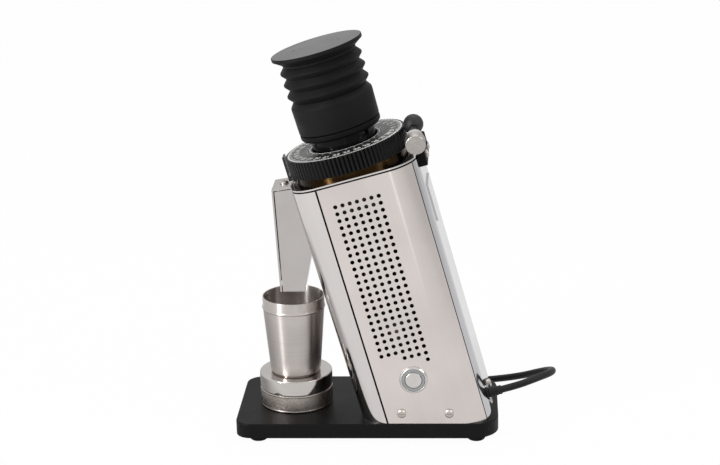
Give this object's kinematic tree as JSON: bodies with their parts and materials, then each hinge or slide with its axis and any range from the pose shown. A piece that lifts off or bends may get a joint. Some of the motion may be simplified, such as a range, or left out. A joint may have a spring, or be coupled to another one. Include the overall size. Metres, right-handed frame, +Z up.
{
  "type": "burr coffee grinder",
  "caption": "Leaning single-dose burr coffee grinder on a base plate, with a bellows lid, numbered adjusting ring, chute, catch cup on a platform, push button and mains lead.",
  "frame": {"origin": "on the floor under the middle of the base plate", "axes": "+Z up, the chute and cup towards -X, the push button on the -Y side"},
  "size_m": [0.29, 0.2386, 0.3621],
  "materials": {
    "black_metal": "satin black powder coat",
    "black_rubber": "matt",
    "polished_steel": "polished",
    "brushed_steel": "brushed",
    "chrome": "polished",
    "cast_aluminium": "cast",
    "black_aluminium": "black anodised",
    "brass": "turned",
    "steel": "machined",
    "gloss_black": "gloss",
    "matt_black": "matt",
    "board_green": "matt",
    "light_grey": "satin",
    "clear_flap": "satin"
  },
  "bodies": {
    "frame": {"base_plate": "black_metal", "rubber_feet": "black_rubber", "foot_screws": "steel", "front_cover": "polished_steel", "side_panel_near": "polished_steel", "side_panel_far": "polished_steel", "rear_cover": "polished_steel", "rear_plate": "brushed_steel", "top_plate": "polished_steel", "base_bracket": "steel", "board_standoffs": "brass", "control_board": "board_green", "board_parts": "matt_black", "grinding_chamber": "cast_aluminium", "outlet_throat": "cast_aluminium", "chute_flap": "clear_flap", "motor_can": "black_metal", "motor_end_cap": "cast_aluminium", "upper_bearing": "steel", "lower_bearing": "steel", "thread_collar": "brass", "index_plate": "brushed_steel", "chute_wrap": "polished_steel", "chute_channel": "polished_steel", "pan_screws": "chrome", "lock_bracket": "black_metal", "lock_screws": "chrome", "button_bezel": "chrome", "button_light": "light_grey", "button_nut": "steel", "switch_body": "matt_black", "platform_post": "steel", "cord_gland": "black_rubber", "cord_coil": "black_rubber", "cord": "black_rubber", "cord_tie": "black_rubber", "plug": "matt_black"},
    "spindle": {"rotor_shaft": "steel", "motor_fan": "matt_black", "lower_burr_carrier": "cast_aluminium", "lower_burr": "steel", "lower_burr_screws": "steel", "spindle_bolt": "steel"},
    "burr_carrier": {"upper_burr_carrier": "brass", "upper_burr": "steel", "upper_burr_screws": "steel", "hopper_neck": "gloss_black", "hopper_seat": "matt_black"},
    "ring": {"adjusting_ring": "black_aluminium", "dial_face": "black_aluminium"},
    "bellows_unit": {"bellows_boot": "black_rubber", "bellows": "black_rubber"},
    "lid": {"bellows_lid": "black_rubber"},
    "lever": {"lock_lever": "chrome", "lever_ball": "matt_black", "lever_pin": "steel"},
    "button": {"button_cap": "brushed_steel"},
    "foot_ring": {"platform_ring": "brushed_steel"},
    "platform": {"platform_top": "polished_steel"},
    "cup": {"dosing_cup": "brushed_steel"}
  },
  "joints": [
    {"name": "spindle_spin", "type": "hinge", "parent": "frame", "child": "spindle", "pos_m": [-0.0161, 0, 0.2658], "axis": [-0.2588, 0, 0.9659], "continuous": true},
    {"name": "ring_turn", "type": "hinge", "parent": "burr_carrier", "child": "ring", "pos_m": [-0.0161, 0, 0.2658], "axis": [-0.2588, 0, 0.9659], "range_deg": [-90, 180]},
    {"name": "carrier_travel", "type": "slide", "parent": "frame", "child": "burr_carrier", "axis": [-0.2588, 0, 0.9659], "range_m": [-0.00038, 0.00075]},
    {"name": "bellows_lift", "type": "slide", "parent": "burr_carrier", "child": "bellows_unit", "axis": [-0.2588, 0, 0.9659], "range_m": [0, 0.06]},
    {"name": "bellows_press", "type": "slide", "parent": "bellows_unit", "child": "lid", "axis": [-0.2588, 0, 0.9659], "range_m": [-0.018, 0], "stiffness_N_per_m": 500, "springref_m": 0.003, "deforming": ["bellows"]},
    {"name": "lever_swing", "type": "hinge", "parent": "frame", "child": "lever", "pos_m": [0.04979, -0.00913, 0.26793], "axis": [-0.2588, 0, 0.9659], "range_deg": [0, 80]},
    {"name": "button_press", "type": "slide", "parent": "frame", "child": "button", "axis": [0, 1, 0], "range_m": [0, 0.0015], "stiffness_N_per_m": 400, "springref_m": -0.002},
    {"name": "foot_ring_turn", "type": "hinge", "parent": "frame", "child": "foot_ring", "pos_m": [-0.0666, 0, 0.0195], "axis": [0, 0, 1], "range_deg": [0, 360]},
    {"name": "platform_rise", "type": "slide", "parent": "frame", "child": "platform", "axis": [0, 0, 1], "range_m": [0, 0.004]},
    {"name": "cup_slide", "type": "slide", "parent": "platform", "child": "cup", "axis": [-1, 0, 0], "range_m": [0, 0.12]}
  ],
  "couplings": [
    {"joint": "ring_turn", "follows": "carrier_travel", "rad_per_m": 4188.8},
    {"joint": "foot_ring_turn", "follows": "platform_rise", "rad_per_m": 1570.8}
  ]
}
